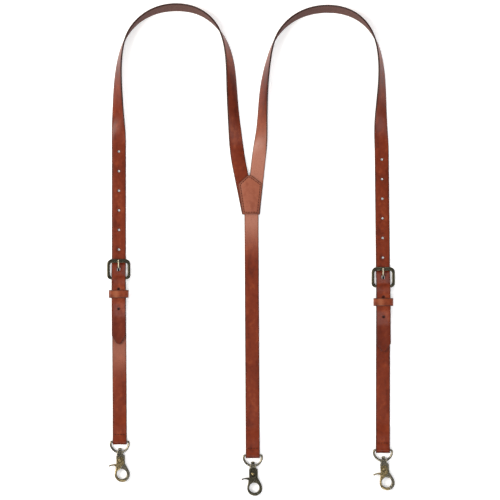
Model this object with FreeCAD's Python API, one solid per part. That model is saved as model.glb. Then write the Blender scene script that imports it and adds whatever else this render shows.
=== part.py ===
# Leather Y-back suspenders, laid out flat with the grain side up.
# Millimetres. The table is z = 0, +Y runs up towards the shoulder arches and +X to the right.
# The origin is on the table under the middle of the yoke.
import FreeCAD, Part
import math
import os

# ---- layout on the table ---------------------------------------------------------------
leg_spread = 140.0                 # from the centre to the middle of either outer leg
arch_height = {"left": 203.7, "right": 202.0}
heel_y = {"left": -82.8, "right": -91.3}
ring_bar = {
    "left": (1.0 - leg_spread, -256.0),
    "back": (1.9, -270.5),
    "right": (leg_spread - 0.3, -265.0),
}
upper_lean = {"left": 0.0, "right": 0.6}        # degrees that an outer leg leans left going up
hook_lean = {"left": 1.5, "back": 0.5, "right": 5.0}   # how far each hook has swung on its ring

# Shape of each shoulder arch, from the yoke to the outer leg: how far across, how far up and
# the turn of the strap about its own length, in degrees.
arch_shape = {
    "left": [
        (0.036, 0.20, 26.0),
        (0.064, 0.48, 46.0),
        (0.110, 0.76, 72.0),
        (0.180, 0.873, 92.0),
        (0.320, 0.966, 107.0),
        (0.527, 1.0, 115.0),
        (0.734, 0.966, 108.0),
        (0.917, 0.844, 92.0),
        (0.988, 0.681, 74.0),
        (1.006, 0.454, 50.0),
        (1.003, 0.27, 24.0),
    ],
    "right": [
        (0.027, 0.183, 32.0),
        (0.050, 0.486, 58.0),
        (0.091, 0.688, 77.0),
        (0.151, 0.825, 92.0),
        (0.300, 0.945, 107.0),
        (0.581, 1.0, 115.0),
        (0.784, 0.957, 107.0),
        (0.913, 0.858, 92.0),
        (0.985, 0.688, 74.0),
        (0.997, 0.459, 52.0),
        (0.992, 0.25, 22.0),
    ],
}
arch_sections = 60
lift_share = 0.25                  # part of the arch over which it comes down off the yoke patch

# ---- leather ---------------------------------------------------------------------------
strap_width = 15.0
strap_t = 1.7
patch_t = 1.2
keeper_t = 1.1
ply_gap = 0.2                      # between plies that are not sewn tight
climb_round = 3.0                  # bend where a strap starts or ends a climb
thread_d = 0.45
stitch_length = 2.0
stitch_pitch = 2.75

# ---- yoke ------------------------------------------------------------------------------
yoke_bottom = -15.5
yoke_run = 51.5                    # flat strap above the yoke's bottom edge
yoke_foot = {"left": -1.8, "right": 1.9}        # where the strap centrelines end
yoke_angle = {"left": 11.5, "right": -6.0}      # lean to the left going up, in degrees
back_foot_x = 0.5
back_point_y = 5.0
patch_top = 26.2
patch_apex_width = 3.9
shoulder_y = 17.0
patch_bottom = -15.0
shoulder_inset = {"left": 2.6, "right": 0.8}
bottom_inset = 0.8
patch_stitch_inset = 2.0

# ---- punched holes and tail ------------------------------------------------------------
hole_r = 1.1
hole_pitch = 20.8
holes_above = 6
holes_below = 2
pin_hole_y = 9.4                   # pinned hole, above the heel bar
pin_hole_length = 5.4
pin_hole_width = 3.2
hole_margin = 6.0
tail_length = 69.6
tail_point = 8.5
tail_shoulder = (0.45, 0.28)       # where the point starts to round, as shares of half width and point

# ---- buckle ----------------------------------------------------------------------------
heel_r = 1.3
frame_length = 18.3                # heel bar centre to top bar centre
top_bar_width = 3.9
side_bar_width = 3.1
frame_t = 2.2
frame_side_gap = 1.8
frame_top_round = 5.8
frame_heel_round = 4.6
frame_window_round = 2.6
frame_edge_round = 0.8
heel_web = 0.2                     # metal round the heel bar beyond its own radius
heel_side_gap = 0.7
heel_relief = 0.9                  # window's depth above the heel bar
heel_root = 1.2                    # heel bar let into each side of the frame
prong_r = 1.0
prong_bend = 1.7
prong_eye_wall = 1.1
prong_eye_width = 3.0
prong_gap = 0.4
prong_dip = 0.7                    # how far the prong leaves its eye below the heel bar
prong_low_run = 2.2                # low run's end, below the pinned hole
prong_high_run = 1.4               # high run's start, above the pinned hole
prong_rest = 0.05                  # from the prong's belly to the frame
prong_crest = 0.1
prong_tip_gap = 1.2                # from the frame's top down to the middle of the prong's tip
pin_clearance = 0.08

# ---- keeper and turned-back tabs ------------------------------------------------------------
keeper_y = -16.7
keeper_width = 8.3
keeper_side_gap = 1.9
keeper_travel = 4.0
keeper_inner_round = 0.4
buckle_tab = 30.0
ring_tab = 16.0
ring_stitch_y = 7.6
fold_clearance = 0.1
bar_landing = 0.7                  # level run where a strap comes off a bar
ply_ramp = 11.0                    # run over which a strap drops off the end of a tab
tab_end_gap = 1.5                  # level run past the end of a ring tab
row_gap = 0.8                      # level run between the row of stitches and the climb
row_inset = 1.5                    # ends of a row of stitches in from the strap's edges
row_margin = 1.0                   # row of stitches to the end of the raised ply
keeper_margin = {"low": 1.5, "high": 1.2}       # level run past the keeper's travel
bar_gap = 0.8                      # from the top bar down to where the front strap climbs
heel_landing = 1.4                 # half the level run over the heel bar
heel_slot = 1.5                    # prong's slot past the keeper's travel
far = 400.0                        # beyond everything, for outlines that only cut
yoke_ramp = 12.0                   # run over which the back strap climbs on to its patch
yoke_landing = 2.0

# ---- swivel ring -----------------------------------------------------------------------
ring_r = 1.15
ring_corner = 1.6
ring_side_gap = 1.0
boss_width = 7.0
boss_length = 3.8
boss_t = 4.8
boss_round = 1.3
post_r = 1.4
post_clearance = 0.06
knob_r = 1.95
knob_length = 2.5

# ---- trigger hook ----------------------------------------------------------------------
hook_t = 5.2
hook_gap = 0.3
rivet_at = (-0.5, -8.3)
eye_at = (1.1, -23.0)
eye_r = 5.35
eye_wall = {"left": 2.1, "right": 3.2, "bottom": 3.1}
hub_r = 3.7
wall_t = 1.4
wall_gap = 0.5
collar_width = 6.6
neck_drop = 4.2                    # rivet down to where the hook's sides start to flare
back_plate_t = 1.7
back_plate_r = 6.6
parting_start = -4.5
parting_end = (0.4, -8.9)
jaw_end_angle = -61.0
rivet_r = 1.2
rivet_head_r = 1.6
seat_r = 2.9
seat_depth = 0.9
spring_r = 2.1
spring_wire_r = 0.25
spring_turns = 2
pocket_depth = 1.1
spring_gap = 0.04                  # spring wire to the back plate, and turn to turn
tail_reach = 11.0
tail_rise = {"root": -4.0, "middle": -3.9, "tip": -4.9, "heel": -8.2}   # from the rivet
tail_root = {"top": -2.6, "low": -3.2}
collar_slope = {"left": 1.4, "right": 1.8}
neck_step = 0.3
cheek_overhang = 1.4               # lever's front plate beyond the back plate's radius
knob_round = 0.85
rivet_head_round = 0.8
rivet_stand = 0.25
rivet_seat_gap = 0.1
tail_t = 1.6
hook_edge_round = 0.7

# ---- worked out from the sizes above ------------------------------------------------------
half = strap_width / 2
heel_fold_r = heel_r + fold_clearance
heel_z = strap_t + heel_fold_r
ring_fold_r = ring_r + fold_clearance
ring_z = strap_t + ring_fold_r
main_ply_z = strap_t + keeper_t + 2 * ply_gap   # underside of the ply that carries the keeper
tail_gap = thread_d + ply_gap
tail_z = main_ply_z + strap_t + tail_gap        # underside of the tail in the keeper
heel_top = heel_z + heel_fold_r + strap_t       # top of the leather folded round the heel bar
keeper_flat = -keeper_y + keeper_width / 2 + keeper_travel + keeper_margin["low"]
keeper_near = -keeper_y - keeper_width / 2 - keeper_travel - keeper_margin["high"]
frame_half = half + frame_side_gap + side_bar_width
frame_top = frame_length + top_bar_width / 2
frame_foot = -heel_r - heel_web
ring_half = half + ring_side_gap + ring_r       # wire centre, across
hook_low = -hook_t / 2
hook_high = hook_t / 2
X = FreeCAD.Vector(1, 0, 0)
Y = FreeCAD.Vector(0, 1, 0)
Z = FreeCAD.Vector(0, 0, 1)


def vec(x, y, z=0.0):
    return FreeCAD.Vector(x, y, z)


def frame_at(x, y, z=0.0, lean=0.0):
    """Placement whose own +Y runs up a strap that leans to the left by this many degrees."""
    return FreeCAD.Placement(vec(x, y, z), FreeCAD.Rotation(Z, lean))


def lean_between(low, high):
    """Lean of the line that climbs from one point of the table to another."""
    return math.degrees(math.atan2(low[0] - high[0], high[1] - low[1]))


def placed(shape, placement):
    """A copy of the shape moved from its own frame to the table's."""
    moved = shape.copy()
    moved.Placement = placement.multiply(moved.Placement)
    return moved


def face_of(points):
    return Part.Face(Part.makePolygon([vec(*p) for p in points + points[:1]]))


def disc(centre, radius):
    return Part.Face(Part.Wire(Part.makeCircle(radius, vec(*centre))))


def slab(face, low, high):
    """The solid that a flat face makes between two heights."""
    solid = face.extrude(vec(0, 0, high - low))
    solid.translate(vec(0, 0, low))
    return solid


def block(low, high):
    size = [b - a for a, b in zip(low, high)]
    return Part.makeBox(*size, vec(*low))


def rod(start, end, radius):
    along = end - start
    return Part.makeCylinder(radius, along.Length, start, along)


def rounded_rectangle(low, high, low_round, high_round):
    """Face with its own corner radius at the bottom and at the top."""
    face = face_of([(low[0], low[1]), (high[0], low[1]), (high[0], high[1]), (low[0], high[1])])
    solid = slab(face, 0, 1)
    for y, radius in ((low[1], low_round), (high[1], high_round)):
        corners = [e for e in solid.Edges if upright(e) and abs(e.Vertexes[0].Y - y) < 1e-6]
        solid = solid.makeFillet(radius, corners)
    return [f for f in solid.Faces if f.CenterOfMass.z < 1e-6][0]


def upright(edge):
    a, b = edge.Vertexes[0].Point, edge.Vertexes[-1].Point
    return abs(a.z - b.z) > 1e-6


def edges_along_y(solid):
    return [e for e in solid.Edges if abs(e.tangentAt(e.FirstParameter).y) > 0.9]


def round_rims(solid, radius, heights):
    """Fillet every edge that lies in one of the given heights."""
    rims = []
    for edge in solid.Edges:
        box = edge.BoundBox
        if any(abs(box.ZMin - z) < 1e-5 and abs(box.ZMax - z) < 1e-5 for z in heights):
            rims.append(edge)
    return solid.makeFillet(radius, rims)


# ---- straps that lie, climb and fold in one upright plane -----------------------------------
def rounded_path(points, radius):
    """Edges of a line in the YZ plane, with each corner a tangent arc."""
    edges = []
    start = points[0]
    for corner, after in zip(points[1:], points[2:]):
        back = start - corner
        on = after - corner
        back.normalize()
        on.normalize()
        turn = math.pi - back.getAngle(on)
        reach = radius * math.tan(turn / 2)
        inward = back + on
        inward.normalize()
        middle = corner + inward * (radius / math.cos(turn / 2) - radius)
        arc = Part.Arc(corner + back * reach, middle, corner + on * reach)
        edges.append(Part.LineSegment(start, corner + back * reach).toShape())
        edges.append(arc.toShape())
        start = corner + on * reach
    edges.append(Part.LineSegment(start, points[-1]).toShape())
    return edges


def half_turn(y, z, radius, side):
    """Arc round a bar from under it to over it, bulging to +Y or -Y."""
    low = vec(0, y, z - radius)
    out = vec(0, y + side * radius, z)
    high = vec(0, y, z + radius)
    return Part.Arc(low, out, high).toShape()


def swept(edges, section):
    """One exact solid for each straight or curved edge, from the face that section gives."""
    solids = []
    for edge in edges:
        start = edge.valueAt(edge.FirstParameter)
        face = section(start, edge.tangentAt(edge.FirstParameter))
        if edge.Curve.TypeId == "Part::GeomLine":
            solids.append(face.extrude(edge.valueAt(edge.LastParameter) - start))
        else:
            turn = math.degrees(edge.LastParameter - edge.FirstParameter)
            solids.append(face.revolve(edge.Curve.Center, edge.Curve.Axis, turn))
    return solids


def strap_along(edges, width, thickness):
    """Strap along the edges of a line in the YZ plane."""
    def section(start, along):
        broad = X * (width / 2)
        thin = X.cross(along) * (thickness / 2)
        corners = [-broad - thin, broad - thin, broad + thin, thin - broad]
        corners = [start + c for c in corners]
        return Part.Face(Part.makePolygon(corners + corners[:1]))
    solids = swept(edges, section)
    return solids[0].fuse(solids[1:]).removeSplitter()


def side_points(pairs):
    """Strap centreline points in the YZ plane from (y, underside height) pairs."""
    return [vec(0, y, z + strap_t / 2) for y, z in pairs]


def ring_fold(y):
    """Points and edges of a strap's end round a ring bar, with the tab on the table."""
    middle_r = ring_fold_r + strap_t / 2
    tab = Part.LineSegment(vec(0, y + ring_tab, strap_t / 2), vec(0, y, strap_t / 2)).toShape()
    turn = half_turn(y, ring_z, middle_r, -1)
    climb = [
        (y, ring_z + ring_fold_r),
        (y + bar_landing, ring_z + ring_fold_r),
        (y + ring_stitch_y - row_gap, strap_t),
        (y + ring_tab + tab_end_gap, strap_t),
        (y + ring_tab + ply_ramp, 0.0),
    ]
    return [tab, turn], climb


# ---- the twisted shoulder arches --------------------------------------------------------
def yoke_line(side, y):
    """X of a front strap's centreline inside the yoke."""
    return yoke_foot[side] - (y - yoke_bottom) * math.tan(math.radians(yoke_angle[side]))


def yoke_entry(side):
    angle = math.radians(yoke_angle[side])
    x = yoke_foot[side] - yoke_run * math.sin(angle)
    return vec(x, yoke_bottom + yoke_run * math.cos(angle))


def strap_section(centre, across, twist):
    """Cross-section wire; the edge towards across rises, and the other stays at the centre's height."""
    turn = math.radians(twist)
    broad = across * math.cos(turn) + Z * math.sin(turn)
    thin = Z * math.cos(turn) - across * math.sin(turn)
    rise = half * abs(math.sin(turn)) + strap_t / 2 * abs(math.cos(turn))
    middle = centre + Z * rise
    corners = []
    for a, b in ((-1, -1), (1, -1), (1, 1), (-1, 1), (-1, -1)):
        corners.append(middle + broad * (a * half) + thin * (b * strap_t / 2))
    return Part.makePolygon(corners)


def arch(side, leg_top, leg_up):
    """Loft from the yoke over the shoulder to the top of the flat outer leg."""
    entry = yoke_entry(side)
    top = arch_height[side]
    route = [entry]
    twists = [0.0]
    for across, up, twist in arch_shape[side]:
        x = entry.x + across * (leg_top.x - entry.x)
        route.append(vec(x, entry.y + up * (top - entry.y)))
        twists.append(twist)
    route.append(leg_top)
    twists.append(0.0)
    angle = math.radians(yoke_angle[side])
    leaving = vec(-math.sin(angle), math.cos(angle))
    line = Part.BSplineCurve()
    line.interpolate(Points=route, InitialTangent=leaving, FinalTangent=leg_up * -1.0)
    stations = [line.parameter(p) for p in route]
    turning = Part.BSplineCurve()
    turning.interpolate(
        Points=[vec(s, t / 90.0) for s, t in zip(stations, twists)],
        InitialTangent=X,
        FinalTangent=X,
    )
    first, last = line.FirstParameter, line.LastParameter
    wires = []
    for i in range(arch_sections + 1):
        share = i / arch_sections
        at = first + share * (last - first)
        along = line.tangent(at)[0]
        twist = 90.0 * twist_at(turning, at)
        lift = patch_t * max(0.0, 1.0 - share / lift_share)
        inward = along.cross(Z) if side == "right" else Z.cross(along)
        wires.append(strap_section(line.value(at) + Z * lift, inward, twist))
    return Part.makeLoft(wires, True, True)


def twist_at(turning, station):
    """Height of the turning curve above one station, by halving."""
    low, high = turning.FirstParameter, turning.LastParameter
    for _ in range(50):
        middle = (low + high) / 2
        if turning.value(middle).x < station:
            low = middle
        else:
            high = middle
    return turning.value(low).y


# ---- front straps ----------------------------------------------------------------------
def heel_place(side):
    """Frame of a buckle: origin on the table under its heel bar, turned with the lower strap."""
    x = -leg_spread if side == "left" else leg_spread
    heel = (x, heel_y[side])
    return frame_at(x, heel_y[side], 0.0, lean_between(ring_bar[side], heel))


def seam_x(y):
    """The seam between the two front straps bisects their centrelines."""
    return (yoke_line("left", y) + yoke_line("right", y)) / 2


def front_strap(side):
    """Punched tail, flat outer leg, twisted arch and the flat end inside the yoke."""
    x = -leg_spread if side == "left" else leg_spread
    place = frame_at(x, heel_y[side], 0.0, upper_lean[side])
    top_hole = pin_hole_y + holes_above * hole_pitch
    leg_length = top_hole + hole_margin
    ramp_foot = frame_length - top_bar_width / 2 - bar_gap
    profile = [
        (leg_length, 0.0),
        (ramp_foot, 0.0),
        (heel_landing, heel_top + ply_gap),
        (-heel_landing, heel_top + ply_gap),
        (-keeper_near, tail_z),
        (-keeper_flat, tail_z),
        (-buckle_tab - ply_ramp, strap_t + tail_gap),
        (-tail_length, strap_t + tail_gap),
    ]
    leg = strap_along(rounded_path(side_points(profile), climb_round), strap_width, strap_t)
    leg = leg.common(tail_outline(leg_length))
    for n in range(-holes_below, holes_above + 1):
        y = pin_hole_y + n * hole_pitch
        leg = leg.cut(pin_slot(y) if n == 0 else rod(vec(0, y, -1), vec(0, y, 20), hole_r))
    leg = placed(leg, place)
    up = place.Rotation.multVec(Y)
    bridge = arch(side, place.multVec(vec(0, leg_length)), up)
    strap = bridge.fuse(yoke_end(side)).common(own_share(side))
    return strap.fuse(leg).removeSplitter()


def own_share(side):
    """The room a front strap may fill, up to its seams with the other two straps."""
    out = -far if side == "left" else far
    edge = back_foot_x + (-half if side == "left" else half)
    outline = [
        (seam_x(yoke_bottom + yoke_run), yoke_bottom + yoke_run),
        (seam_x(back_point_y), back_point_y),
        (edge, yoke_bottom),
        (out, yoke_bottom),
        (out, far),
        (seam_x(yoke_bottom + yoke_run), far),
    ]
    return slab(face_of(outline), -1.0, far)


def yoke_end(side):
    """Flat end of a front strap between the two yoke patches."""
    entry = yoke_entry(side)
    place = frame_at(entry.x, entry.y, patch_t, yoke_angle[side])
    return placed(block((-half, -yoke_run - 5, 0), (half, 0, strap_t)), place)


def pin_slot(y):
    """Oblong hole pulled out by the prong."""
    run = (pin_hole_length - pin_hole_width) / 2
    r = pin_hole_width / 2
    slot = block((-r, y - run, -1), (r, y + run, 20))
    for end in (y - run, y + run):
        slot = slot.fuse(rod(vec(0, end, -1), vec(0, end, 20), r))
    return slot


def tail_outline(top):
    """Plan outline of the leg with the tail cut to a rounded point."""
    low = -tail_length
    left, right = vec(-half, low + tail_point), vec(half, low + tail_point)
    tip = vec(0, low)
    across, up = half * tail_shoulder[0], tail_point * tail_shoulder[1]
    sharp_l = vec(-across, low + up)
    sharp_r = vec(across, low + up)
    edges = [
        Part.LineSegment(left, sharp_l).toShape(),
        Part.Arc(sharp_l, tip, sharp_r).toShape(),
        Part.LineSegment(sharp_r, right).toShape(),
        Part.LineSegment(right, vec(half, top)).toShape(),
        Part.LineSegment(vec(half, top), vec(-half, top)).toShape(),
        Part.LineSegment(vec(-half, top), left).toShape(),
    ]
    return slab(Part.Face(Part.Wire(edges)), -1.0, 20.0)


# ---- lower and back straps -------------------------------------------------------------
def lower_strap(side):
    """From the buckle's heel bar to the swivel ring, folded round both."""
    x = -leg_spread if side == "left" else leg_spread
    length = math.hypot(x - ring_bar[side][0], heel_y[side] - ring_bar[side][1])
    middle_r = heel_fold_r + strap_t / 2
    tab = Part.LineSegment(vec(0, -buckle_tab, strap_t / 2), vec(0, 0, strap_t / 2)).toShape()
    ring_edges, ring_climb = ring_fold(-length)
    profile = [
        (0.0, heel_z + heel_fold_r),
        (-bar_landing, heel_z + heel_fold_r),
        (-keeper_near, main_ply_z),
        (-keeper_flat, main_ply_z),
        (-buckle_tab - ply_ramp, 0.0),
    ] + ring_climb[::-1]
    edges = [tab, half_turn(0.0, heel_z, middle_r, 1)]
    edges += rounded_path(side_points(profile), climb_round)
    edges += ring_edges
    strap = strap_along(edges, strap_width, strap_t)
    slot_half = prong_eye_width / 2 + prong_gap
    slot = block((-slot_half, heel_slot - keeper_near, -1), (slot_half, heel_z + 2, heel_top + 1))
    return placed(strap.cut(slot), heel_place(side))


def back_place():
    """Frame of the back strap: origin on the table under its ring bar."""
    x, y = ring_bar["back"]
    return frame_at(x, y, 0.0, lean_between((x, y), (back_foot_x, yoke_bottom)))


def back_strap():
    """From its point inside the yoke down to the swivel ring."""
    length = math.hypot(ring_bar["back"][0] - back_foot_x, yoke_bottom - ring_bar["back"][1])
    point = back_point_y - yoke_bottom
    ring_edges, ring_climb = ring_fold(0.0)
    profile = ring_climb + [
        (length - yoke_landing - yoke_ramp, 0.0),
        (length - yoke_landing, patch_t),
        (length + point + yoke_landing, patch_t),
    ]
    edges = ring_edges + rounded_path(side_points(profile), climb_round)
    strap = placed(strap_along(edges, strap_width, strap_t), back_place())
    outline = [
        (back_foot_x - half, yoke_bottom),
        (seam_x(back_point_y), back_point_y),
        (back_foot_x + half, yoke_bottom),
        (far, yoke_bottom - strap_t),
        (far, -far),
        (-far, -far),
        (-far, yoke_bottom - strap_t),
    ]
    return strap.common(slab(face_of(outline), -1.0, 20.0))


# ---- yoke patches ----------------------------------------------------------------------
def outer_edge(side, y):
    """X of a front strap's outer edge inside the yoke."""
    reach = half / math.cos(math.radians(yoke_angle[side]))
    return yoke_line(side, y) + (-reach if side == "left" else reach)


def patch_outline():
    apex = seam_x(patch_top)
    return [
        (apex - patch_apex_width / 2, patch_top),
        (outer_edge("left", shoulder_y) + shoulder_inset["left"], shoulder_y),
        (outer_edge("left", patch_bottom) + bottom_inset, patch_bottom),
        (outer_edge("right", patch_bottom) - bottom_inset, patch_bottom),
        (outer_edge("right", shoulder_y) - shoulder_inset["right"], shoulder_y),
        (apex + patch_apex_width / 2, patch_top),
    ]


def stitch(start, end, z):
    """One visible stitch lying on the leather."""
    return rod(vec(start.x, start.y, z + thread_d / 2), vec(end.x, end.y, z + thread_d / 2), thread_d / 2)


def stitch_line(start, end, z):
    """Evenly pitched stitches between two points of a level surface."""
    run = end - start
    count = max(1, int(run.Length / stitch_pitch))
    step = run / count
    gap = step * ((1 - stitch_length / stitch_pitch) / 2)
    stitches = []
    for n in range(count):
        stitches.append(stitch(start + step * n + gap, start + step * (n + 1) - gap, z))
    return stitches


def yoke_stitching():
    inner = face_of(patch_outline()).makeOffset2D(-patch_stitch_inset, 2)
    corners = [v.Point for v in inner.OuterWire.OrderedVertexes]
    top = 2 * patch_t + strap_t
    stitches = []
    for start, end in zip(corners, corners[1:] + corners[:1]):
        stitches += stitch_line(start, end, top)
    return Part.makeCompound(stitches)


def cross_stitching(place, y, z):
    """A row across a strap, at one height of its upper surface."""
    start = vec(row_inset - half, y)
    end = vec(half - row_inset, y)
    return placed(Part.makeCompound(stitch_line(start, end, z)), place)


# ---- buckle ----------------------------------------------------------------------------
def buckle_frame(side):
    """Flat frame with a round heel bar that the lower strap folds round."""
    outer = rounded_rectangle(
        (-frame_half, frame_foot), (frame_half, frame_top), frame_heel_round, frame_top_round)
    window_half = frame_half - side_bar_width
    window_top = frame_length - top_bar_width / 2
    window_low = (-window_half, heel_r + heel_web)
    window = rounded_rectangle(
        window_low, (window_half, window_top), frame_window_round, frame_window_round)
    plate = round_rims(slab(outer.cut(window), 0.0, frame_t), frame_edge_round, (0.0, frame_t))
    plate.translate(vec(0, 0, heel_z - frame_t / 2))
    heel_half = half + heel_side_gap
    plate = plate.cut(block((-heel_half, frame_foot - 1, 0), (heel_half, heel_r + heel_relief, 20)))
    bar_half = heel_half + heel_root
    bar = rod(vec(-bar_half, 0, heel_z), vec(bar_half, 0, heel_z), heel_r)
    return placed(plate.fuse(bar).removeSplitter(), heel_place(side))


def bent_wire(edges, radius):
    """Round wire along straight and curved edges."""
    return swept(edges, lambda start, along: disc_across(start, along, radius))


def disc_across(start, along, radius):
    return Part.Face(Part.Wire(Part.makeCircle(radius, start, along)))


def prong(side):
    """Wire prong: an eye on the heel bar, a crank through the hole, a tip on the top bar."""
    eye_r_in = heel_r + pin_clearance
    eye_r_out = eye_r_in + prong_eye_wall
    half_eye = prong_eye_width / 2
    eye = rod(vec(-half_eye, 0, heel_z), vec(half_eye, 0, heel_z), eye_r_out)
    low = prong_r + prong_dip
    high = heel_z + frame_t / 2 + prong_r + prong_rest
    points = [
        vec(0, eye_r_in + prong_r / 2, heel_z - prong_dip),
        vec(0, pin_hole_y - prong_low_run, low),
        vec(0, pin_hole_y + prong_high_run, high + prong_crest),
        vec(0, frame_top - prong_tip_gap, high),
    ]
    tip = Part.makeSphere(prong_r, points[-1], X)
    bore = rod(vec(-half_eye - 1, 0, heel_z), vec(half_eye + 1, 0, heel_z), eye_r_in)
    solid = eye.fuse(bent_wire(rounded_path(points, prong_bend), prong_r) + [tip]).cut(bore)
    return placed(solid, heel_place(side))


def keeper(side):
    """Leather loop held between the plies, round the ply and the tail."""
    inner_half = half + keeper_side_gap
    low = strap_t + ply_gap
    high = tail_z + strap_t + ply_gap + keeper_t
    outer_half = inner_half + keeper_t
    reach = keeper_width / 2
    outer = block((-outer_half, -reach, low), (outer_half, reach, high))
    inner = block((-inner_half, -2 * reach, low + keeper_t), (inner_half, 2 * reach, high - keeper_t))
    outer = outer.makeFillet(keeper_t, edges_along_y(outer))
    inner = inner.makeFillet(keeper_inner_round, edges_along_y(inner))
    loop = outer.cut(inner)
    loop.translate(vec(0, keeper_y, 0))
    return placed(loop, heel_place(side))


# ---- swivel ring and trigger hook ---------------------------------------------------------
def ring_place(name):
    """Frame of a swivel ring: origin on the axis of its straight bar."""
    x, y = ring_bar[name]
    if name == "back":
        lean = back_place().Rotation.Angle * 180 / math.pi * back_place().Rotation.Axis.z
    else:
        outer = -leg_spread if name == "left" else leg_spread
        lean = lean_between((x, y), (outer, heel_y[name]))
    return frame_at(x, y, ring_z, lean)


def hook_place(name):
    """Frame of a hook: origin in the ring's boss, +Y along the swivel post."""
    swing = frame_at(0, -ring_corner, 0, hook_lean[name]).multiply(frame_at(0, -ring_half))
    return ring_place(name).multiply(swing)


def swivel_ring(name):
    """D-shaped wire ring with a bored boss for the hook's post."""
    bar_half = ring_half - ring_corner
    wire = rod(vec(-bar_half, 0, 0), vec(bar_half, 0, 0), ring_r)
    bend = Part.makeTorus(ring_half, ring_r, vec(0, -ring_corner), Z, -180, 180, 180)
    bend.rotate(vec(0, -ring_corner), Z, 180)
    right = Part.makeTorus(ring_corner, ring_r, vec(bar_half, -ring_corner), Z, -180, 180, 90)
    left = Part.makeTorus(ring_corner, ring_r, vec(-bar_half, -ring_corner), Z, -180, 180, 90)
    left.rotate(vec(-bar_half, -ring_corner), Z, 90)
    wire = wire.fuse([bend, right, left])
    reach = [boss_width / 2, boss_length / 2, boss_t / 2]
    boss = block([-r for r in reach], reach)
    boss = boss.makeFillet(boss_round, edges_along_y(boss))
    bore = rod(vec(0, -boss_length, 0), vec(0, boss_length, 0), post_r + post_clearance)
    into_ring = ring_place(name).inverse().multiply(hook_place(name))
    ring = wire.fuse(placed(boss, into_ring)).cut(placed(bore, into_ring))
    return placed(ring.removeSplitter(), ring_place(name))


def tangent_point(point, centre, radius, side):
    """Where the line from a point touches a circle, on its left (1) or right (-1)."""
    dx, dy = point[0] - centre[0], point[1] - centre[1]
    aim = math.atan2(dy, dx) + side * math.acos(radius / math.hypot(dx, dy))
    return (centre[0] + radius * math.cos(aim), centre[1] + radius * math.sin(aim))


def hook_parting():
    """Plan face on the jaw's side of the line between the body and the lever."""
    wall_in = rivet_at[0] + hub_r + wall_gap
    angle = math.radians(jaw_end_angle)
    return face_of([
        (wall_in, far),
        (wall_in, rivet_at[1] + parting_start),
        (rivet_at[0] + parting_end[0], rivet_at[1] + parting_end[1]),
        eye_at,
        (eye_at[0] + far * math.cos(angle), eye_at[1] + far * math.sin(angle)),
        (far, eye_at[1] - far),
        (far, far),
    ])


def hook_silhouette():
    """The closed hook without its eye: collar, straight sides, flaring neck and round end."""
    outer_r = eye_r + (eye_wall["left"] + eye_wall["right"]) / 2
    centre = (
        eye_at[0] + (eye_wall["right"] - eye_wall["left"]) / 2,
        eye_at[1] + outer_r - eye_r - eye_wall["bottom"],
    )
    left = rivet_at[0] - hub_r
    right = rivet_at[0] + hub_r + wall_gap + wall_t
    collar_y = -boss_length / 2 - hook_gap
    neck_left = (left, rivet_at[1] - neck_drop)
    neck_right = (right, rivet_at[1] - neck_drop + neck_step)
    sides = face_of([
        (-collar_width / 2, collar_y),
        (collar_width / 2, collar_y),
        (right, collar_y - collar_slope["right"]),
        neck_right,
        tangent_point(neck_right, centre, outer_r, -1),
        centre,
        tangent_point(neck_left, centre, outer_r, 1),
        neck_left,
        (left, collar_y - collar_slope["left"]),
    ])
    return slab(sides, hook_low, hook_high).fuse(slab(disc(centre, outer_r), hook_low, hook_high))


def hook_blank():
    """The closed hook as one rounded plate with the eye through it."""
    eye = rod(vec(*eye_at, hook_low - 1), vec(*eye_at, hook_high + 1), eye_r)
    blank = hook_silhouette().cut(eye).removeSplitter()
    return round_rims(blank, hook_edge_round, (hook_low, hook_high))


def hook_body():
    """Cast body: swivel post, collar, back plate, side wall and the fixed jaw."""
    jaw = slab(hook_parting(), hook_low - 1, hook_high + 1)
    above = block((-20, rivet_at[1], hook_low), (20, 0, hook_high))
    back = rod(vec(*rivet_at, hook_low), vec(*rivet_at, hook_low + back_plate_t), back_plate_r)
    well = rod(vec(*rivet_at, hook_low + back_plate_t), vec(*rivet_at, hook_high + 1), hub_r + hook_gap)
    body = hook_blank().common(jaw.fuse([above, back])).cut(well)
    collar_y = -boss_length / 2 - hook_gap
    post = rod(vec(0, collar_y - 0.5), vec(0, boss_length / 2 + 0.5), post_r)
    knob_y = boss_length / 2 + hook_gap
    knob = rod(vec(0, knob_y), vec(0, knob_y + knob_length), knob_r)
    rims = [e for e in knob.Edges if e.Curve.TypeId == "Part::GeomCircle"]
    body = body.fuse([post, knob.makeFillet(knob_round, rims)])
    return body.cut(rod(vec(*rivet_at, hook_low - 1), vec(*rivet_at, hook_high + 1), rivet_r))


def hook_lever():
    """Gate arc, hub and thumb tail in one piece, turning on the rivet."""
    jaw_side = hook_parting().makeOffset2D(hook_gap, 2)
    free = hook_blank().cut(slab(jaw_side, hook_low - 1, hook_high + 1))
    front_low = hook_low + back_plate_t + hook_gap
    hub = rod(vec(*rivet_at, front_low), vec(*rivet_at, hook_high), hub_r)
    below = block((-30, -60, hook_low), (30, rivet_at[1], hook_high))
    cheek = rod(vec(*rivet_at, front_low), vec(*rivet_at, hook_high), back_plate_r + cheek_overhang)
    plate = free.common(hub.fuse(below.common(cheek)))
    clear = rod(vec(*rivet_at, hook_low - 1), vec(*rivet_at, hook_high + 1), back_plate_r + hook_gap)
    gate = free.common(below).cut(clear)
    tail = slab(thumb_tail(), front_low, hook_high)
    lever = plate.fuse([gate, tail]).removeSplitter()
    seat = rod(vec(*rivet_at, hook_high - seat_depth), vec(*rivet_at, hook_high + 1), seat_r)
    pocket = rod(vec(*rivet_at, front_low - 1), vec(*rivet_at, front_low + pocket_depth), seat_r)
    bore = rod(vec(*rivet_at, hook_low), vec(*rivet_at, hook_high), rivet_r + pin_clearance)
    return lever.cut(seat).cut(pocket).cut(bore)


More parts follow.
